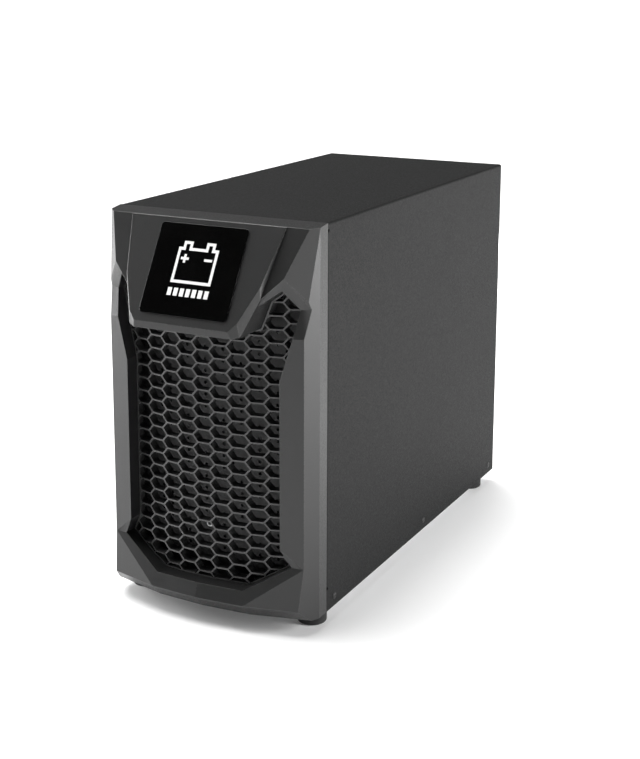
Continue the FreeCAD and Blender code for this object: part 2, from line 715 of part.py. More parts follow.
def tray(tier):
    """Shelf bent into a table whose legs straddle the tier below; the lower one has lugs with screws."""
    lowest = tier == 1
    top = FIRST_SHELF + tier * TIER_PITCH
    low = FIRST_SHELF + (tier - 1) * TIER_PITCH + (0 if lowest else STEEL)
    front, back = BANK_FRONT + LEG_INSET, BANK_BACK - LEG_INSET
    parts = [block(-TRAY_HALF, TRAY_HALF, TRAY_FRONT, TRAY_BACK, top, top + STEEL),
             block(-TRAY_HALF, -TRAY_HALF + STEEL, front, back, low, top + STEEL),
             block(TRAY_HALF - STEEL, TRAY_HALF, front, back, low, top + STEEL)]
    if lowest:
        parts.append(block(-TRAY_HALF - LUG, -TRAY_HALF + STEEL, front, back, low, low + STEEL))
        parts.append(block(TRAY_HALF - STEEL, TRAY_HALF + LUG, front, back, low, low + STEEL))
    holes = [rod(x, y, low - PAST, SCREW_RADIUS + FIT, STEEL + 2 * PAST) for x, y in tray_screw_places()]
    return joined(parts).cut(holes) if lowest else joined(parts)


# ---- batteries -------------------------------------------------------------------------------------------

def tier_base(tier):
    """Height of the sheet that a tier stands on."""
    return FIRST_SHELF + tier * TIER_PITCH + (STEEL if tier else 0)


def block_places():
    """Front and low edges of each battery block, tier by tier from the front."""
    return [(BANK_FRONT + i * (BLOCK_Y + BLOCK_GAP), tier_base(tier) + FOAM)
            for tier in range(TIERS) for i in range(PER_TIER)]


def battery_block(y, z):
    """Sealed block with a lid that stands out all round."""
    lid = z + BLOCK_Z - LID_TALL
    half = BLOCK_X / 2
    case = block(-half + LID_STEP, half - LID_STEP, y + LID_STEP, y + BLOCK_Y - LID_STEP, z, lid)
    return joined([case, block(-half, half, y, y + BLOCK_Y, lid, z + BLOCK_Z)])


def tab_places():
    """Foot of each blade tab: both ends of each block, in order."""
    return [(s * TAB_X, y + BLOCK_Y / 2, z + BLOCK_Z) for y, z in block_places() for s in (-1, 1)]


def battery_tabs():
    """Blade tabs on the lids."""
    return Part.makeCompound([block(x - TAB_WIDE / 2, x + TAB_WIDE / 2, y - TAB_THICK / 2,
                                    y + TAB_THICK / 2, z, z + TAB_HEIGHT) for x, y, z in tab_places()])


def tab_boots():
    """Insulated push-on receptacles over the tabs."""
    boots = []
    for x, y, z in tab_places():
        outer = block(x - BOOT / 2, x + BOOT / 2, y - BOOT / 4, y + BOOT / 4, z + GAP, z + TAB_HEIGHT + PAST)
        pocket = block(x - (TAB_WIDE + GAP) / 2, x + (TAB_WIDE + GAP) / 2, y - (TAB_THICK + GAP) / 2,
                       y + (TAB_THICK + GAP) / 2, z, z + TAB_HEIGHT + GAP / 2)
        boots.append(outer.cut(pocket))
    return Part.makeCompound(boots)


def link_leads():
    """Short flat leads that join neighbouring blocks in series, alternately left and right."""
    leads = []
    for index, (y, z) in enumerate(block_places()):
        if index % PER_TIER == PER_TIER - 1:
            continue
        x = TAB_X if index % 2 == 0 else -TAB_X
        low = z + BLOCK_Z + TAB_HEIGHT / 2 + GAP
        start = y + BLOCK_Y / 2 + BOOT / 4
        end = start + BLOCK_Y + BLOCK_GAP - BOOT / 2
        leads.append(block(x - LINK, x + LINK, start, end, low - LINK / 4, low + LINK / 4))
    return Part.makeCompound(leads)


def battery_stops(front):
    """Angle bars that keep each tier from sliding."""
    bars = []
    for tier in range(TIERS):
        z = tier_base(tier)
        y = BANK_FRONT - STEEL - GAP if front else BANK_BACK + GAP
        foot_front = y - STOP_FOOT if front else y + STEEL
        wall = block(-STOP_HALF, STOP_HALF, y, y + STEEL, z, z + STOP_TALL)
        sole = block(-STOP_HALF, STOP_HALF, foot_front, foot_front + STOP_FOOT, z, z + STEEL)
        bars.append(joined([wall, sole]))
    return Part.makeCompound(bars)


def foam_pads():
    """Thin pad under each tier."""
    return Part.makeCompound([block(-FOAM_HALF, FOAM_HALF, BANK_FRONT + FOAM_INSET, BANK_BACK - FOAM_INSET,
                                    tier_base(tier), tier_base(tier) + FOAM) for tier in range(TIERS)])


# ---- wiring ----------------------------------------------------------------------------------------------

def lead_heights():
    """Height of the boots' middle in each tier."""
    return [tier_base(tier) + FOAM + BLOCK_Z + TAB_HEIGHT / 2 + GAP for tier in range(TIERS)]


def lead_ends():
    """Where leads leave the front tabs forwards and the rear tabs backwards."""
    return BANK_FRONT + BLOCK_Y / 2 - BOOT / 4, BANK_BACK - BLOCK_Y / 2 + BOOT / 4


def tier_leads():
    """Leads that carry the series on from one tier to the next, one behind and one in front."""
    z1, z2, z3 = lead_heights()
    first, last = lead_ends()
    rear_y = TRAY_BACK + LEAD_START
    rear = [(-TAB_X, last, z1), (-TAB_X, rear_y, z1), (-TAB_X, rear_y, z2), (-TAB_X, last, z2)]
    front = [(-TAB_X, first, z2), (-TAB_X, LEAD_FRONT_Y, z2), (-TAB_X, LEAD_FRONT_Y, z3),
             (-TAB_X, first, z3)]
    return Part.makeCompound([tube(rear, LEAD_DIAMETER), tube(front, LEAD_DIAMETER)])


def negative_leads():
    """From the first tier's front tab along the side to the breaker, and from it to the sockets."""
    z1 = lead_heights()[0]
    first = lead_ends()[0]
    x, low, high = POLE_X[0], POLE_Z[0], POLE_Z[1]
    near = BREAKER_FACE - LEAD_START
    bus = BUS_Y - BUS_THICK
    feed = [(-TAB_X, first, z1), (-TAB_X, LEAD_FRONT_Y, z1), (LEAD_SIDE_X, LEAD_FRONT_Y, z1),
            (LEAD_SIDE_X, 292, z1), (-80, 305, 76), (x, near - 6, low), (x, BREAKER_FACE, low)]
    out = [(x, BREAKER_FACE, high), (x, near, high), (-24, 309, 108), (30, 318, 112),
           (SOCKET_X + CHAMBER_X, bus - 2 * LEAD_START, 100), (SOCKET_X + CHAMBER_X, bus, 100)]
    return Part.makeCompound([tube(feed, LEAD_DIAMETER), tube(out, LEAD_DIAMETER)])


def positive_leads():
    """From the top tier's rear tab through the fuse to the breaker, and from it to the sockets."""
    z3 = lead_heights()[2]
    last = lead_ends()[1]
    half = FUSE_LONG / 2
    x, low, high = POLE_X[1], POLE_Z[0], POLE_Z[1]
    near = BREAKER_FACE - LEAD_START
    bus = BUS_Y - BUS_THICK
    drop = [(-TAB_X, last, z3), (-TAB_X, 301, z3), (-32, 304, 284), (-32, 304, 44), (-32, FUSE_Y, FUSE_Z),
            (-half, FUSE_Y, FUSE_Z)]
    feed = [(half, FUSE_Y, FUSE_Z), (32, FUSE_Y, FUSE_Z), (32, FUSE_Y, 50), (x, near, low),
            (x, BREAKER_FACE, low)]
    out = [(x, BREAKER_FACE, high), (x, near, high), (-8, 318, 84), (20, 322, 80),
           (SOCKET_X - CHAMBER_X, bus - 2 * LEAD_START, 76), (SOCKET_X - CHAMBER_X, bus, 76)]
    return Part.makeCompound([tube(drop, LEAD_DIAMETER), tube(feed, LEAD_DIAMETER), tube(out, LEAD_DIAMETER)])


def string_fuse():
    """Cartridge fuse with end caps."""
    half = FUSE_LONG / 2
    body = rod(-half, FUSE_Y, FUSE_Z, FUSE_RADIUS, FUSE_LONG, RIGHT)
    caps = [rod(x, FUSE_Y, FUSE_Z, CAP_RADIUS, CAP_LONG, RIGHT)
            for x in (-half + CAP_INSET, half - CAP_INSET - CAP_LONG)]
    return joined([body] + caps)


def fuse_holder():
    """Base with two saddles that the fuse lies in."""
    y0, y1 = FUSE_Y - HOLDER_WIDE / 2, FUSE_Y + HOLDER_WIDE / 2
    base = block(-HOLDER_LONG / 2, HOLDER_LONG / 2, y0, y1, STEEL, STEEL + HOLDER_TALL)
    saddles = [block(x - SADDLE / 2, x + SADDLE / 2, y0, y1, STEEL, FUSE_Z) for x in (-SADDLE_X, SADDLE_X)]
    seat = rod(-HOLDER_LONG, FUSE_Y, FUSE_Z, CAP_RADIUS + GAP / 2, 2 * HOLDER_LONG, RIGHT)
    return joined([base] + saddles).cut(seat)


# ---- rear fittings ---------------------------------------------------------------------------------------

def along_pivot(wide, radius):
    """Round bar centred on the lever's pivot."""
    return rod(BREAKER_X - wide / 2, LEVER_PIVOT_Y, BREAKER_Z, radius, wide, RIGHT)


def breaker_body():
    """Moulded two-pole breaker with a pocket for the lever's drum."""
    body = slab(BREAKER_X, BREAKER_Z, BREAKER_WIDE, BREAKER_TALL, BREAKER_FACE, DEPTH - STEEL)
    nose = slab(BREAKER_X, BREAKER_Z, BREAKER_WIDE, NOSE_TALL, DEPTH - STEEL, DEPTH + NOSE_PROUD)
    pocket = along_pivot(DRUM_WIDE + 2 * GAP, LEVER_RADIUS + GAP)
    hole = along_pivot(BREAKER_WIDE - 2 * PIN_INSET, PIN_RADIUS)
    return joined([body, nose]).cut([pocket, hole])


def breaker_pin():
    """Pin that the lever turns on."""
    return along_pivot(BREAKER_WIDE - 2 * PIN_INSET, PIN_RADIUS)


def breaker_lever():
    """Drum with a flat handle, at rest in its lower position."""
    drum = along_pivot(DRUM_WIDE, LEVER_RADIUS)
    handle = slab(BREAKER_X, BREAKER_Z, DRUM_WIDE, LEVER_THICK, LEVER_PIVOT_Y, LEVER_PIVOT_Y + LEVER_REACH)
    lever = joined([drum, handle]).cut(along_pivot(2 * DRUM_WIDE, PIN_RADIUS + FIT))
    lever.rotate(Vector(BREAKER_X, LEVER_PIVOT_Y, BREAKER_Z), RIGHT, LEVER_REST)
    return lever


def breaker_frame():
    """Mounting frame round the breaker's nose."""
    plate = slab(BREAKER_X, BREAKER_Z, FRAME_WIDE, FRAME_WIDE, DEPTH, DEPTH + FRAME_THICK)
    plate = plate.makeFillet(FRAME_CORNER, edges_along(plate, BACK))
    window = slab(BREAKER_X, BREAKER_Z, BREAKER_WIDE + 2 * GAP, NOSE_TALL + 2 * GAP, DEPTH - PAST,
                  DEPTH + FRAME_THICK + PAST)
    holes = [rod(x, DEPTH - PAST, z, SCREW_RADIUS + SCREW_PLAY, FRAME_THICK + 2 * PAST, BACK)
             for x, z in breaker_screw_places()]
    return plate.cut([window] + holes)


def chambers(z):
    """Space of a socket's two pole chambers."""
    return [slab(SOCKET_X + s * CHAMBER_X, z, CHAMBER, CHAMBER, CHAMBER_BACK, REAR_REACH + PAST)
            for s in (-1, 1)]


def battery_socket(z):
    """Two-pole battery connector shell with a screw flange."""
    shell = slab(SOCKET_X, z, SOCKET_WIDE, SOCKET_TALL, BUS_Y, REAR_REACH)
    flange = slab(SOCKET_X, z, SOCKET_FLANGE, SOCKET_TALL, DEPTH, DEPTH + SOCKET_FLANGE_THICK)
    holes = [rod(SOCKET_X + s * SOCKET_SCREW_X, DEPTH - PAST, z, SCREW_RADIUS + SCREW_PLAY,
                 SOCKET_FLANGE_THICK + 2 * PAST, BACK) for s in (-1, 1)]
    return joined([shell, flange]).cut(holes + chambers(z))


def socket_contacts(z):
    """Flat silvered contacts at the back of the chambers."""
    return Part.makeCompound([slab(SOCKET_X + s * CHAMBER_X, z, CONTACT_WIDE, CONTACT_THICK, CHAMBER_BACK,
                                   CHAMBER_BACK + CONTACT_LONG) for s in (-1, 1)])


def bus_bars():
    """Bars that put the two sockets in parallel."""
    low, high = SOCKET_Z
    return Part.makeCompound([slab(SOCKET_X + s * CHAMBER_X, (low + high) / 2, BUS_WIDE,
                                   high - low + 2 * BUS_SPARE, BUS_Y - BUS_THICK, BUS_Y) for s in (-1, 1)])


def earth_stud():
    """Weld stud with a collar on the outer face and a free end for the bonding lead's ring terminal."""
    start = DEPTH - EARTH_ROOT
    bolt = rod(EARTH_X, start, EARTH_Z, EARTH_RADIUS, REAR_REACH - start, BACK)
    return joined([bolt, rod(EARTH_X, DEPTH, EARTH_Z, COLLAR_RADIUS, COLLAR_THICK, BACK)])


def earth_nut():
    """Hexagon nut on the stud, inside the sheet."""
    y = DEPTH - STEEL - NUT_THICK
    radius = NUT_ACROSS / math.sqrt(3)
    turns = [math.radians(60 * i) for i in range(6)]
    corners = [Vector(EARTH_X + radius * math.cos(a), y, EARTH_Z + radius * math.sin(a)) for a in turns]
    nut = face_of(corners).extrude(Vector(0, NUT_THICK, 0))
    return nut.cut(rod(EARTH_X, y - PAST, EARTH_Z, EARTH_RADIUS + FIT, NUT_THICK + 2 * PAST, BACK))


def rating_plate():
    """Blank plate on the rear sheet."""
    return slab(0, PLATE_Z, PLATE_WIDE, PLATE_TALL, DEPTH, DEPTH + PLATE_THICK)


# ---- feet and fasteners ----------------------------------------------------------------------------------

def foot(x, y):
    """Round foot with a chamfered tread and a recess for its screw."""
    body = rod(x, y, -FOOT_HEIGHT, FOOT_RADIUS, FOOT_HEIGHT)
    tread = [e for e in body.Edges if e.CenterOfMass.z < -FOOT_HEIGHT / 2 and len(e.Vertexes) == 1]
    body = body.makeChamfer(TREAD_CHAMFER, [e for e in tread if e.Closed])
    body = body.cut(rod(x, y, -FOOT_HEIGHT, RECESS_RADIUS, RECESS_DEEP))
    return body.cut(rod(x, y, -FOOT_HEIGHT, FOOT_SCREW_RADIUS + FIT, FOOT_HEIGHT + PAST))


def screw(place, axis, shank_radius, head_radius, head, length):
    """Button-head screw: the head stands out of a face along the axis, the shank goes in."""
    cap = Part.makeCylinder(head_radius, head, place, axis)
    rim = [e for e in cap.Edges if (e.CenterOfMass - place).dot(axis) > head * 0.9 and len(e.Vertexes) == 1]
    cap = cap.makeFillet(head * 0.45, rim)
    return cap.fuse(Part.makeCylinder(shank_radius, length, place, axis * -1))


def foot_screws():
    """Screws that hold the feet to the floor, heads down in the feet's recesses."""
    return Part.makeCompound([screw(Vector(x, y, RECESS_DEEP - FOOT_HEIGHT), UP * -1, FOOT_SCREW_RADIUS,
                                    FOOT_SCREW_HEAD, HEAD_TALL, FOOT_SCREW_LONG) for x, y in foot_places()])


def cover_screws():
    """Screws along the bottom of both sides."""
    return Part.makeCompound([screw(Vector(s * HALF, y, SIDE_SCREW_Z), RIGHT * s, SCREW_RADIUS, SIDE_HEAD,
                                    SIDE_HEAD_TALL, SCREW_LONG) for s in (-1, 1) for y in SIDE_SCREWS_Y])


def tray_screws():
    """Screws that hold the lower tray's lugs to the floor."""
    return Part.makeCompound([screw(Vector(x, y, FIRST_SHELF + STEEL), UP, SCREW_RADIUS, SCREW_HEAD,
                                    HEAD_TALL, TRAY_SCREW_LONG) for x, y in tray_screw_places()])


def rear_screws():
    """Screws of the breaker's frame and of the sockets' flanges."""
    heads = [screw(Vector(x, DEPTH + FRAME_THICK, z), BACK, SCREW_RADIUS, SCREW_HEAD, HEAD_TALL, SCREW_LONG)
             for x, z in breaker_screw_places()]
    heads += [screw(Vector(x, DEPTH + SOCKET_FLANGE_THICK, z), BACK, SCREW_RADIUS, SCREW_HEAD, HEAD_TALL,
                    SCREW_LONG) for x, z in socket_screw_places()]
    return Part.makeCompound(heads)


# ---- assembly --------------------------------------------------------------------------------------------

def build():
    """Make every piece."""
    points = bezel_points()
    keep("outer_cover", outer_cover())
    keep("base_chassis", base_chassis())
    keep("front_panel", front_panel())
    keep("clinch_nut", clinch_nut())
    keep("rear_panel", rear_panel())
    keep("front_bezel", front_bezel(points))
    keep("console_mask", console_mask(points))
    keep("label_panel", label_panel())
    keep("battery_pictogram", pictogram())
    keep("honeycomb_grille", honeycomb_grille(points))
    keep("tray_middle", tray(1))
    keep("tray_top", tray(2))
    for number, (y, z) in enumerate(block_places(), start=1):
        keep("battery_%02d" % number, battery_block(y, z))
    keep("battery_tabs", battery_tabs())
    keep("tab_boots", tab_boots())
    keep("link_leads", link_leads())
    keep("tier_leads", tier_leads())
    keep("negative_leads", negative_leads())
    keep("positive_leads", positive_leads())
    keep("front_battery_stops", battery_stops(True))
    keep("rear_battery_stops", battery_stops(False))
    keep("foam_pads", foam_pads())
    keep("string_fuse", string_fuse())
    keep("fuse_holder", fuse_holder())
    keep("breaker_body", breaker_body())
    keep("breaker_pin", breaker_pin())
    keep("breaker_lever", breaker_lever())
    keep("breaker_frame", breaker_frame())
    for name, z in zip(("lower", "upper"), SOCKET_Z):
        keep("battery_socket_" + name, battery_socket(z))
        keep("socket_contacts_" + name, socket_contacts(z))
    keep("bus_bars", bus_bars())
    keep("earth_stud", earth_stud())
    keep("earth_nut", earth_nut())
    keep("rating_plate", rating_plate())
    corners = ("front_left", "rear_left", "front_right", "rear_right")
    for name, (x, y) in zip(corners, foot_places()):
        keep("foot_" + name, foot(x, y))
    keep("foot_screws", foot_screws())
    keep("cover_screws", cover_screws())
    keep("tray_screws", tray_screws())
    keep("rear_screws", rear_screws())


build()
os.makedirs("parts", exist_ok=True)
for node, shape in shapes.items():
    placed = shape.copy()
    placed.translate(ORIGIN_SHIFT)
    placed.exportStep("parts/%s.step" % node)
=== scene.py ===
import json
import math

import bmesh
import bpy
from mathutils import Matrix, Vector


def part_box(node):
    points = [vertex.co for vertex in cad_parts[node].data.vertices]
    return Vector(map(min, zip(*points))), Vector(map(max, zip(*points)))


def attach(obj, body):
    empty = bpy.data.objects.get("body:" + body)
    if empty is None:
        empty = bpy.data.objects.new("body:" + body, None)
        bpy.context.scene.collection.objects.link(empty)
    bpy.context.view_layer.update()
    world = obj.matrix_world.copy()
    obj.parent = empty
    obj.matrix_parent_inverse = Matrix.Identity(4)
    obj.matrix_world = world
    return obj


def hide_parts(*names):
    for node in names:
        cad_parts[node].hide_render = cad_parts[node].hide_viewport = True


MM = 0.001

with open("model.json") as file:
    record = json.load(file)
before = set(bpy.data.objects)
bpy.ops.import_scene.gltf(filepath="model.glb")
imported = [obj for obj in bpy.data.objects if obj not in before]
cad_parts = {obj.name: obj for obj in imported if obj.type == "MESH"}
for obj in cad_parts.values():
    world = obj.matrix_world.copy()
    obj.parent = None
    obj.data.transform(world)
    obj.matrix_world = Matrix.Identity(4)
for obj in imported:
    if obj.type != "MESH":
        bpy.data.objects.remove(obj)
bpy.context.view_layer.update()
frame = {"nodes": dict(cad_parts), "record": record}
nodes = frame["nodes"]

# ---- the frame's own measures -----------------------------------------------------------------------------
cover_low, cover_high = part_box("outer_cover")
CASE_HEIGHT = cover_high.z - cover_low.z
SEAM = Vector((0, cover_low.y, cover_low.z))


# ---- shader building blocks -------------------------------------------------------------------------------
EDGE_SAMPLES = 4                 # rays of the edge mask
EDGE_GAIN = 6.0                  # how fast the mask rises as the normal leans


class Shader:
    """A Principled material with short helpers for its procedural inputs."""

    def __init__(self, name):
        self.material = bpy.data.materials.new(name)
        self.material.use_nodes = True
        self.tree = self.material.node_tree
        self.bsdf = self.tree.nodes["Principled BSDF"]
        self.coords = self.node("ShaderNodeTexCoord")

    def node(self, kind, **settings):
        made = self.tree.nodes.new(kind)
        for key, value in settings.items():
            setattr(made, key, value)
        return made

    def link(self, source, target):
        self.tree.links.new(source, target)

    def noise(self, scale, detail=2.0, rough=0.5, stretch=None):
        """Noise in object space; scale is in cells per metre."""
        made = self.node("ShaderNodeTexNoise")
        made.inputs["Scale"].default_value = scale
        made.inputs["Detail"].default_value = detail
        made.inputs["Roughness"].default_value = rough
        source = self.coords.outputs["Object"]
        if stretch:
            mapping = self.node("ShaderNodeMapping")
            mapping.inputs["Scale"].default_value = stretch
            self.link(source, mapping.inputs["Vector"])
            source = mapping.outputs["Vector"]
        self.link(source, made.inputs["Vector"])
        return made.outputs["Fac"]

    def cells(self, scale):
        """Voronoi cell distance in object space."""
        made = self.node("ShaderNodeTexVoronoi", feature="F1")
        made.inputs["Scale"].default_value = scale
        self.link(self.coords.outputs["Object"], made.inputs["Vector"])
        return made.outputs["Distance"]

    def ramp(self, source, low, high, from_low=0.35, from_high=0.65):
        """Map a texture's middle range onto low..high."""
        made = self.node("ShaderNodeMapRange")
        made.inputs["From Min"].default_value = from_low
        made.inputs["From Max"].default_value = from_high
        made.inputs["To Min"].default_value = low
        made.inputs["To Max"].default_value = high
        self.link(source, made.inputs["Value"])
        return made.outputs["Result"]

    def blend(self, factor, dark, light):
        """Colour between two fixed colours."""
        made = self.node("ShaderNodeMix", data_type="RGBA")
        made.inputs["A"].default_value = (*dark, 1)
        made.inputs["B"].default_value = (*light, 1)
        self.link(factor, made.inputs["Factor"])
        return made.outputs["Result"]

    def mix(self, factor, first, second):
        """Blend of two linked colours."""
        made = self.node("ShaderNodeMix", data_type="RGBA")
        self.link(first, made.inputs["A"])
        self.link(second, made.inputs["B"])
        self.link(factor, made.inputs["Factor"])
        return made.outputs["Result"]

    def math(self, operation, first, second):
        """Arithmetic on two values, each a number or a socket."""
        made = self.node("ShaderNodeMath", operation=operation)
        for socket, value in zip(made.inputs, (first, second)):
            if isinstance(value, (int, float)):
                socket.default_value = value
            else:
                self.link(value, socket)
        return made.outputs["Value"]

    def edges(self, radius):
        """Mask that nears 1 along edges, from how far the rounded normal leans off the true one."""
        bevel = self.node("ShaderNodeBevel", samples=EDGE_SAMPLES)
        bevel.inputs["Radius"].default_value = radius
        geometry = self.node("ShaderNodeNewGeometry")
        dot = self.node("ShaderNodeVectorMath", operation="DOT_PRODUCT")
        self.link(bevel.outputs["Normal"], dot.inputs[0])
        self.link(geometry.outputs["Normal"], dot.inputs[1])
        lean = self.math("SUBTRACT", 1.0, dot.outputs["Value"])
        gained = self.node("ShaderNodeMath", operation="MULTIPLY", use_clamp=True)
        self.link(lean, gained.inputs[0])
        gained.inputs[1].default_value = EDGE_GAIN
        return gained.outputs["Value"]

    def bump(self, height, distance, strength):
        """Surface relief; distance is its depth in metres."""
        made = self.node("ShaderNodeBump")
        made.inputs["Strength"].default_value = strength
        made.inputs["Distance"].default_value = distance
        self.link(height, made.inputs["Height"])
        return made.outputs["Normal"]

    def finish(self, colour, roughness, normal=None, **constants):
        """Link the surface's sockets, and set constants on the shader itself."""
        self.link(colour, self.bsdf.inputs["Base Color"])
        self.link(roughness, self.bsdf.inputs["Roughness"])
        if normal is not None:
            self.link(normal, self.bsdf.inputs["Normal"])
        for name, value in constants.items():
            self.bsdf.inputs[name.replace("_", " ")].default_value = value
        return self.material


def grey(value, warm=0.0):
    """Neutral colour, a touch warm or cool."""
    return (value * (1 + warm), value, value * (1 - warm))


# ---- materials --------------------------------------------------------------------------------------------
def powder_coat(name, shade, rough, specular=0.2):
    """Fine-textured black powder coat: orange-peel grain, faint mottling, rubbed edges."""
    s = Shader(name)
    grain = s.noise(2600, 3.0, 0.6)
    peel = s.noise(900, 2.0)
    cloud = s.noise(9, 3.0)
    worn = s.math("MULTIPLY", s.edges(0.0008), s.ramp(s.noise(60, 3.0), 0.1, 0.9))
    tone = s.blend(s.ramp(cloud, 0, 1), grey(shade * 0.92, -0.01), grey(shade * 1.08, -0.01))
    speck = s.blend(s.ramp(grain, 0, 1, 0.3, 0.7), grey(shade * 0.45), grey(shade * 1.7))
    tone = s.mix(s.ramp(peel, 0.3, 0.8), tone, speck)
    tone = s.mix(worn, tone, s.blend(cloud, grey(shade * 2.6), grey(shade * 3.4)))
    height = s.math("ADD", s.math("MULTIPLY", grain, 0.55), s.math("MULTIPLY", peel, 0.45))
    return s.finish(tone, s.ramp(peel, rough - 0.06, rough + 0.08), s.bump(height, 0.0003, 0.6),
                    Specular_IOR_Level=specular)


def moulded(name, shade, rough, grain_scale=3200, depth=0.00012, specular=0.45, warm=0.0):
    """Spark-eroded moulded plastic: even fine grain, faint flow marks, edges a little glossier from handling
    and lightened in colour as a painted highlight.
    """
    s = Shader(name)
    grain = s.noise(grain_scale, 2.0, 0.55)
    sparkle = s.noise(1100, 2.0, 0.6)
    flow = s.noise(22, 3.0, 0.5, (1.0, 1.0, 0.25))
    edge = s.edges(0.0005)
    tone = s.blend(s.ramp(flow, 0, 1), grey(shade * 0.9, warm), grey(shade * 1.1, warm))
    speck = s.blend(s.ramp(grain, 0, 1, 0.3, 0.7), grey(shade * 0.75, warm), grey(shade * 1.25, warm))
    tone = s.mix(s.ramp(sparkle, 0.2, 0.8), tone, speck)
    # painted highlight: the colour along the edges is lightened 2.8 to 4.2 times, at half strength
    painted_edge_highlight = s.blend(s.ramp(flow, 0, 1), grey(shade * 2.8, warm), grey(shade * 4.2, warm))
    tone = s.mix(s.math("MULTIPLY", edge, 0.5), tone, painted_edge_highlight)
    roughness = s.math("SUBTRACT", s.ramp(sparkle, rough - 0.07, rough + 0.09),
                       s.math("MULTIPLY", edge, 0.1))
    height = s.math("ADD", s.math("MULTIPLY", grain, 0.6), s.math("MULTIPLY", sparkle, 0.4))
    return s.finish(tone, roughness, s.bump(height, depth, 0.6), Specular_IOR_Level=specular)


def gloss_panel(name):
    """Black glossy sheet: deep colour under a clear coat with faint dust and hairlines."""
    s = Shader(name)
    dust = s.cells(2600)
    haze = s.noise(35, 4.0)
    tone = s.blend(s.ramp(dust, 0, 1, 0.05, 0.12), grey(0.006), grey(0.0012))
    scratch = s.noise(700, 2.0, 0.5, (1.0, 0.06, 0.06))
    roughness = s.math("ADD", s.ramp(haze, 0.10, 0.17), s.ramp(scratch, 0.0, 0.05, 0.55, 0.75))
    return s.finish(tone, roughness, s.bump(scratch, 0.00001, 0.2), Specular_IOR_Level=0.35,
                    Coat_Weight=0.25, Coat_Roughness=0.08)


def screen_print(name):
    """White ink: slightly uneven film."""
    s = Shader(name)
    film = s.noise(1500, 3.0)
    tone = s.blend(s.ramp(film, 0, 1), grey(0.80, 0.01), grey(0.93, 0.01))
    return s.finish(tone, s.ramp(film, 0.4, 0.55), s.bump(film, 0.00002, 0.4), Specular_IOR_Level=0.4)


def sheet_metal(name, shade, rough, warm, brushed=(1.0, 0.05, 1.0)):
    """Plated or bare metal with a rolling direction, spangle and small scuffs."""
    s = Shader(name)
    brush = s.noise(1800, 3.0, 0.6, brushed)
    spangle = s.cells(140)
    tone = s.blend(s.ramp(spangle, 0, 1, 0.1, 0.6), grey(shade * 0.85, warm), grey(shade * 1.08, warm))
    roughness = s.math("ADD", s.ramp(brush, rough - 0.08, rough + 0.1), s.math("MULTIPLY", spangle, 0.08))
    return s.finish(tone, roughness, s.bump(brush, 0.00003, 0.4), Metallic=1.0)


def rubber(name, shade, rough=0.75):
    """Moulded rubber: bloom, grit and a soft matte surface."""
    s = Shader(name)
    bloom = s.noise(45, 3.0)
    grit = s.noise(2200, 2.0, 0.6)
    tone = s.blend(s.ramp(bloom, 0, 1), grey(shade * 0.8), grey(shade * 1.5))
    return s.finish(tone, s.ramp(grit, rough - 0.08, rough + 0.1), s.bump(grit, 0.0002, 0.5),
                    Specular_IOR_Level=0.3)


def coloured(name, dark, light, rough, grain_scale=1800, metallic=0.0):
    """Small coloured part: mottled colour and a fine surface."""
    s = Shader(name)
    mottle = s.noise(180, 3.0)
    grain = s.noise(grain_scale, 2.0)
    return s.finish(s.blend(s.ramp(mottle, 0, 1), dark, light), s.ramp(grain, rough - 0.06, rough + 0.08),
                    s.bump(grain, 0.00005, 0.4), Metallic=metallic)


ANY_WAY = (1.0, 1.0, 1.0)        # a brush direction for metal that shows none

# One finish for each material slot of the record.
FINISHES = {
    "cover_steel": powder_coat("powder_coat", 0.0088, 0.6, 0.13),
    "panel_steel": powder_coat("inner_paint", 0.045, 0.42, 0.4),
    "zinc_steel": sheet_metal("zinc_plate", 0.62, 0.38, -0.01),
    "bezel_plastic": moulded("bezel_plastic", 0.0155, 0.36, depth=0.0002, specular=0.45),
    "mask_plastic": moulded("mask_plastic", 0.0125, 0.42, depth=0.0002, specular=0.38),
    "grille_plastic": moulded("grille_plastic", 0.046, 0.36, 4200, 0.00006),
    "label_gloss": gloss_panel("label_gloss"),
    "white_print": screen_print("white_print"),
    "tinned_metal": sheet_metal("tinned_metal", 0.78, 0.25, 0.0, ANY_WAY),
    "red_boot": coloured("red_boot", (0.35, 0.02, 0.015), (0.5, 0.035, 0.02), 0.45),
    "black_lead": rubber("black_lead", 0.02, 0.45),
    "red_lead": coloured("red_lead", (0.38, 0.015, 0.012), (0.5, 0.03, 0.02), 0.42),
    "foam": rubber("foam", 0.06, 0.9),
    "ceramic": coloured("ceramic", (0.72, 0.70, 0.64), (0.82, 0.80, 0.74), 0.2),
    "breaker_plastic": moulded("breaker_plastic", 0.05, 0.40),
    "lever_plastic": moulded("lever_plastic", 0.018, 0.35),
    "socket_plastic": moulded("socket_plastic", 0.11, 0.42),
    "copper": coloured("copper", (0.62, 0.30, 0.18), (0.78, 0.42, 0.27), 0.3, 900, 1.0),
    "plate_silver": coloured("plate_silver", (0.30, 0.30, 0.31), (0.36, 0.36, 0.37), 0.4, 1400),
    "foot_rubber": rubber("foot_rubber", 0.018, 0.7),
    "black_screw": sheet_metal("black_screw", 0.06, 0.4, 0.0, ANY_WAY),
    "battery_case": moulded("battery_case", 0.07, 0.42),
}
# The rounded outer edges of the plastic pieces: glossier, as handling has polished them, and lighter in
# colour, which is a painted edge highlight.
EDGE_HIGHLIGHT_FINISHES = {
    "bezel_plastic": moulded("bezel_edge_highlight", 0.032, 0.28, specular=0.5),
    "mask_plastic": moulded("mask_edge_highlight", 0.024, 0.3, specular=0.45),
    "grille_plastic": moulded("grille_edge_highlight", 0.062, 0.3, 4200, 0.00006, specular=0.5),
}
slot_of = {part["node"]: part["material_slot"] for part in frame["record"]["subparts"]}


def dress(obj, slot):
    """Give an object the finish of a slot, in place of what it had."""
    obj.data.materials.clear()
    obj.data.materials.append(FINISHES[slot])


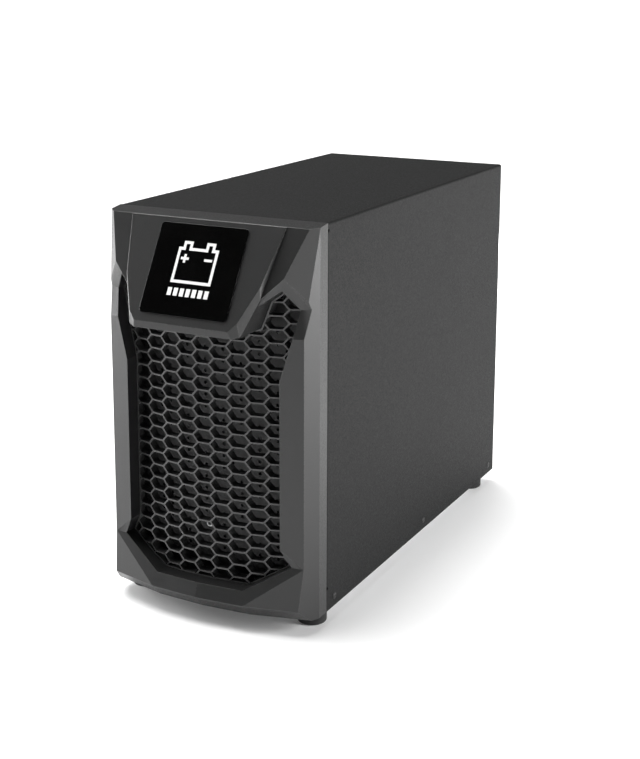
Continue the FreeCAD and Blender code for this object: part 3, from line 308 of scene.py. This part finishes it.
# ---- pieces with softened edges ---------------------------------------------------------------------------
WELD = 1e-6                      # metres, joins the CAD mesh's doubled vertices
FLAT = math.radians(1.0)         # faces that turn less than this are one facet
FACETED = math.radians(4.0)      # least turn that counts as an edge on a faceted moulding
ROUND = math.radians(25.0)       # the same on a piece with curved faces
PLAIN_FINISH, EDGE_HIGHLIGHT_INDEX = 0, 1
EDGE_STEPS = 2                   # facets across a rounded edge
NORMAL_WEIGHT = 100              # large faces set the normals of the vertices they share
FACETED_NODES = ("front_bezel", "console_mask")


def set_finishes(mesh, finishes):
    """Replace a mesh's materials and keep which face uses which."""
    which = [face.material_index for face in mesh.polygons]
    mesh.materials.clear()
    for finish in finishes:
        mesh.materials.append(finish)
    mesh.polygons.foreach_set("material_index", [min(i, len(finishes) - 1) for i in which])


def softened(node, width, body):
    """Copy of a CAD piece with its facets whole and its outer edges rounded, which stands for the node."""
    crease = FACETED if node in FACETED_NODES else ROUND
    edge_highlight_finish = EDGE_HIGHLIGHT_FINISHES.get(slot_of[node])
    mesh = nodes[node].data.copy()
    piece = bpy.data.objects.new(node + "_soft", mesh)
    bpy.context.scene.collection.objects.link(piece)
    mesh.name = piece.name
    set_finishes(mesh, [FINISHES[slot_of[node]]] * 2)
    mesh.polygons.foreach_set("material_index", [PLAIN_FINISH] * len(mesh.polygons))
    work = bmesh.new()
    work.from_mesh(mesh)
    bmesh.ops.remove_doubles(work, verts=work.verts, dist=WELD)
    bmesh.ops.dissolve_limit(work, angle_limit=FLAT, verts=work.verts, edges=work.edges)
    work.normal_update()
    weight = work.edges.layers.float.new("bevel_weight_edge")
    for edge in work.edges:
        turn = edge.calc_face_angle_signed(0.0)
        edge[weight] = 1.0 if turn > crease else 0.0
        edge.smooth = turn > -crease
    for face in work.faces:
        face.smooth = True
    work.to_mesh(mesh)
    work.free()
    bevel = piece.modifiers.new("edges", "BEVEL")
    bevel.width = width
    bevel.segments = EDGE_STEPS
    bevel.limit_method = "WEIGHT"
    bevel.use_clamp_overlap = True
    # the rounded edges take the lighter edge finish, a painted highlight
    bevel.material = EDGE_HIGHLIGHT_INDEX if edge_highlight_finish else -1
    weighted = piece.modifiers.new("normals", "WEIGHTED_NORMAL")
    weighted.keep_sharp = True
    weighted.weight = NORMAL_WEIGHT
    graph = bpy.context.evaluated_depsgraph_get()
    graph.update()
    made = bpy.data.meshes.new_from_object(piece.evaluated_get(graph))
    piece.modifiers.clear()
    piece.data = made
    set_finishes(made, [FINISHES[slot_of[node]]] + ([edge_highlight_finish] if edge_highlight_finish else []))
    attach(piece, body)
    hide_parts(node)


# Node, radius of its outer edges, body.
SOFT_EDGES = [
    ("outer_cover", 0.45 * MM, "cabinet"),
    ("front_panel", 0.22 * MM, "cabinet"),
    ("rear_panel", 0.25 * MM, "cabinet"),
    ("base_chassis", 0.3 * MM, "cabinet"),
    ("clinch_nut", 0.4 * MM, "cabinet"),
    ("breaker_frame", 0.6 * MM, "cabinet"),
    ("breaker_body", 0.35 * MM, "cabinet"),
    ("battery_socket_lower", 0.45 * MM, "cabinet"),
    ("battery_socket_upper", 0.45 * MM, "cabinet"),
    ("earth_nut", 0.3 * MM, "cabinet"),
    ("rating_plate", 0.12 * MM, "cabinet"),
    ("foot_front_left", 0.7 * MM, "cabinet"),
    ("foot_rear_left", 0.7 * MM, "cabinet"),
    ("foot_front_right", 0.7 * MM, "cabinet"),
    ("foot_rear_right", 0.7 * MM, "cabinet"),
    ("breaker_lever", 0.4 * MM, "lever"),
    ("front_bezel", 0.45 * MM, "bezel"),
    ("console_mask", 0.4 * MM, "bezel"),
    ("honeycomb_grille", 0.18 * MM, "bezel"),
    ("label_panel", 0.2 * MM, "bezel"),
]


# ---- screws -----------------------------------------------------------------------------------------------
SCREW_CREASE = math.radians(35)
RIM = 0.97                       # points further out than this, of the head's radius, are on its rim
TIP_PART = 0.2                   # the part of the shank, from its tip, that gives its radius
RECESS_REACH = 0.56              # the cross's outer radius, of the head's
RECESS_WAIST = 0.42              # the cross's inner radius, of its reach


def islands(node):
    """Vertex lists of a node's separate solids, in a fixed order."""
    work = bmesh.new()
    work.from_mesh(nodes[node].data)
    bmesh.ops.remove_doubles(work, verts=work.verts, dist=WELD)
    left = set(work.verts)
    groups = []
    for start in work.verts:
        if start not in left:
            continue
        left.remove(start)
        stack = [start]
        group = []
        while stack:
            vert = stack.pop()
            group.append(vert.co.copy())
            for edge in vert.link_edges:
                other = edge.other_vert(vert)
                if other in left:
                    left.remove(other)
                    stack.append(other)
        groups.append(group)
    work.free()
    return sorted(groups, key=lambda g: tuple(round(sum(v[i] for v in g) / len(g), 5) for i in range(3)))


def turned(rings, sides=48):
    """Closed shape along Z: each ring is a height, and a radius or a function of the angle."""
    verts = []
    faces = []
    for height, radius in rings:
        for i in range(sides):
            angle = 2 * math.pi * i / sides
            reach = radius(angle) if callable(radius) else radius
            verts.append(Vector((reach * math.cos(angle), reach * math.sin(angle), height)))
    for ring in range(len(rings) - 1):
        for i in range(sides):
            j = (i + 1) % sides
            low, high = ring * sides, (ring + 1) * sides
            faces.append((low + i, low + j, high + j, high + i))
    faces.append(tuple(reversed(range(sides))))
    faces.append(tuple(range((len(rings) - 1) * sides, len(rings) * sides)))
    return verts, faces


def cross_recess(reach):
    """Outline of a cross driver recess: four lobes, as a radius for each direction."""
    def radius(angle):
        lobe = abs(math.cos(2 * angle)) ** 3
        return reach * (RECESS_WAIST + (1 - RECESS_WAIST) * lobe)
    return radius


def screw_mesh(points, axis):
    """Domed cross-head screw with a plain shank, of the size and place of a CAD screw."""
    along = [p.dot(axis) for p in points]
    middle = (Vector(map(max, zip(*points))) + Vector(map(min, zip(*points)))) / 2
    centre = middle - axis * middle.dot(axis)
    off = [(p - centre - axis * p.dot(axis)).length for p in points]
    head = max(off)
    seat = min(a for a, r in zip(along, off) if r > RIM * head)
    crown = max(along)
    tip = min(along)
    shank = max(r for a, r in zip(along, off) if a < tip + TIP_PART * (seat - tip))
    tall = crown - seat
    recess = cross_recess(RECESS_REACH * head)
    # the recess from its floor to its mouth, then the dome down to the seat, then the shank
    rings = [(crown - 0.72 * tall, lambda a: 0.55 * recess(a)),
             (crown - 0.68 * tall, lambda a: 0.8 * recess(a)),
             (crown - 0.1 * tall, recess),
             (crown - 0.03 * tall, lambda a: 1.1 * recess(a))]
    rings += [(crown - down * tall, out * head) for down, out in
              ((0.02, 0.66), (0.12, 0.8), (0.32, 0.92), (0.62, 0.985), (0.9, 1.0))]
    rings += [(seat, 0.985 * head), (seat, shank), (tip, shank)]
    verts, faces = turned(rings)
    turn = axis.to_track_quat("Z", "Y")
    return [centre + turn @ v for v in verts], [tuple(reversed(f)) for f in faces]


def piece_from(name, meshes, node, body):
    """One object from several vertex and face lists, which stands for a node."""
    verts = []
    faces = []
    for some, shape in meshes:
        faces += [tuple(i + len(verts) for i in face) for face in shape]
        verts += some
    mesh = bpy.data.meshes.new(name)
    mesh.from_pydata(verts, [], faces)
    mesh.polygons.foreach_set("use_smooth", [True] * len(mesh.polygons))
    mesh.set_sharp_from_angle(angle=SCREW_CREASE)
    piece = bpy.data.objects.new(name, mesh)
    bpy.context.scene.collection.objects.link(piece)
    dress(piece, slot_of[node])
    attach(piece, body)
    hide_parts(node)


def screws(node, direction):
    """Cross-head screws in place of a node's plain ones."""
    made = [screw_mesh(points, direction(points)) for points in islands(node)]
    piece_from(node + "_driven", made, node, "cabinet")


def outwards_x(points):
    """Away from the middle of the case, for a screw in its left or right side."""
    return Vector((math.copysign(1, points[0].x), 0, 0))


# ---- the pieces -------------------------------------------------------------------------------------------
for node, obj in nodes.items():
    dress(obj, slot_of[node])
for node, width, body in SOFT_EDGES:
    softened(node, width, body)
screws("cover_screws", outwards_x)
screws("rear_screws", lambda points: Vector((0, 1, 0)))
screws("tray_screws", lambda points: Vector((0, 0, 1)))
screws("foot_screws", lambda points: Vector((0, 0, -1)))


# ---- stage, light and camera ------------------------------------------------------------------------------
FLOOR_REACH = 60.0
FLOOR_GLOW = 0.06                            # a little light of the floor's own
HORIZON_TOP, HORIZON_LIGHT = 0.06, 0.3       # sine of elevation and light where the surround starts to darken
CEILING_FROM, CEILING_LIGHT = 0.32, 0.02     # the same where it has darkened
MIDDLE = (0.05, -0.1, 0.17)                  # what the soft boxes are turned to
SUN_FROM, SUN_STRENGTH, SUN_SPREAD = (-0.35, 0.1, 1.0), 4.5, math.radians(50)
TALL_BOX, LOW_BOX = (0.5, 0.8), (1.0, 0.26)
SOFTBOXES = [
    # name, place, size, power
    ("strip_right", (1.503, 0.104, 0.482), TALL_BOX, 30),
    ("strip_left", (-1.367, -0.480, 0.482), TALL_BOX, 12),
    ("rear_fill", (-0.3, 1.6, 0.15), LOW_BOX, 14),
    ("strip_far_left", (-1.435, -0.1, 0.42), TALL_BOX, 12),
]
CAMERA_PLACE = Vector((1.8066, -2.9856, 1.5867))     # from the seam, in case heights
YAW, PITCH, ROLL = math.radians(27.11), math.radians(11.67), math.radians(0.19)
SENSOR_WIDTH, LENS = 36.0, 67.371            # millimetres
SHIFT_DOWN = -0.1502                         # in picture heights


def build_floor():
    """Very large white floor at the feet."""
    corners = [(x * FLOOR_REACH, y * FLOOR_REACH, 0) for x, y in ((-1, -1), (1, -1), (1, 1), (-1, 1))]
    mesh = bpy.data.meshes.new("floor")
    mesh.from_pydata(corners, [], [(0, 1, 2, 3)])
    floor = bpy.data.objects.new("floor", mesh)
    bpy.context.scene.collection.objects.link(floor)
    s = Shader("floor_paper")
    tooth = s.noise(400, 3.0)
    s.finish(s.blend(s.ramp(tooth, 0, 1), grey(0.95), grey(0.97)), s.ramp(tooth, 0.8, 0.95),
             Specular_IOR_Level=0.0, Emission_Color=(1, 1, 1, 1), Emission_Strength=FLOOR_GLOW)
    mesh.materials.append(s.material)


def build_world():
    """Pale surround at floor level that darkens towards the ceiling, as in a photo studio."""
    world = bpy.data.worlds.new("studio")
    world.use_nodes = True
    tree = world.node_tree
    tree.nodes.clear()
    coords = tree.nodes.new("ShaderNodeTexCoord")
    split = tree.nodes.new("ShaderNodeSeparateXYZ")
    height = tree.nodes.new("ShaderNodeMapRange")
    height.interpolation_type = "SMOOTHSTEP"
    height.inputs["From Min"].default_value = HORIZON_TOP
    height.inputs["From Max"].default_value = CEILING_FROM
    height.inputs["To Min"].default_value = HORIZON_LIGHT
    height.inputs["To Max"].default_value = CEILING_LIGHT
    back = tree.nodes.new("ShaderNodeBackground")
    back.inputs["Color"].default_value = (1, 1, 1, 1)
    out = tree.nodes.new("ShaderNodeOutputWorld")
    tree.links.new(coords.outputs["Generated"], split.inputs["Vector"])
    tree.links.new(split.outputs["Z"], height.inputs["Value"])
    tree.links.new(height.outputs["Result"], back.inputs["Strength"])
    tree.links.new(back.outputs["Background"], out.inputs["Surface"])
    bpy.context.scene.world = world


def sun(name, towards, strength, spread):
    """Parallel light with soft shadows, coming from a direction."""
    light = bpy.data.lights.new(name, "SUN")
    light.energy = strength
    light.angle = spread
    lamp = bpy.data.objects.new(name, light)
    lamp.rotation_euler = Vector(towards).to_track_quat("Z", "Y").to_euler()
    bpy.context.scene.collection.objects.link(lamp)


def softbox(name, place, aim, size, power):
    """Rectangular soft light at a place, turned to a point."""
    light = bpy.data.lights.new(name, "AREA")
    light.shape = "RECTANGLE"
    light.size, light.size_y = size
    light.energy = power
    lamp = bpy.data.objects.new(name, light)
    lamp.location = place
    lamp.rotation_euler = (Vector(aim) - Vector(place)).to_track_quat("-Z", "Y").to_euler()
    lamp.visible_camera = False
    bpy.context.scene.collection.objects.link(lamp)


def build_camera():
    """Camera above and beyond the case's front right corner, turned down, with a modest shift."""
    camera = bpy.data.cameras.new("camera")
    camera.sensor_width = SENSOR_WIDTH
    camera.sensor_fit = "AUTO"
    camera.lens = LENS
    camera.shift_y = SHIFT_DOWN
    eye = bpy.data.objects.new("camera", camera)
    eye.location = SEAM + CAMERA_PLACE * CASE_HEIGHT
    level = math.cos(PITCH)
    ahead = Vector((-math.sin(YAW) * level, math.cos(YAW) * level, -math.sin(PITCH)))
    right = Vector((math.cos(YAW), math.sin(YAW), 0))
    up = right.cross(ahead)
    right, up = (math.cos(ROLL) * right + math.sin(ROLL) * up,
                 math.cos(ROLL) * up - math.sin(ROLL) * right)
    eye.rotation_mode = "QUATERNION"
    eye.rotation_quaternion = Matrix((right, up, -ahead)).transposed().to_quaternion()
    bpy.context.scene.collection.objects.link(eye)
    bpy.context.scene.camera = eye


build_floor()
build_world()
sun("overhead", SUN_FROM, SUN_STRENGTH, SUN_SPREAD)
for name, place, size, power in SOFTBOXES:
    softbox(name, place, MIDDLE, size, power)
build_camera()
bpy.context.scene.view_settings.view_transform = "Standard"
bpy.context.scene.view_settings.look = "None"
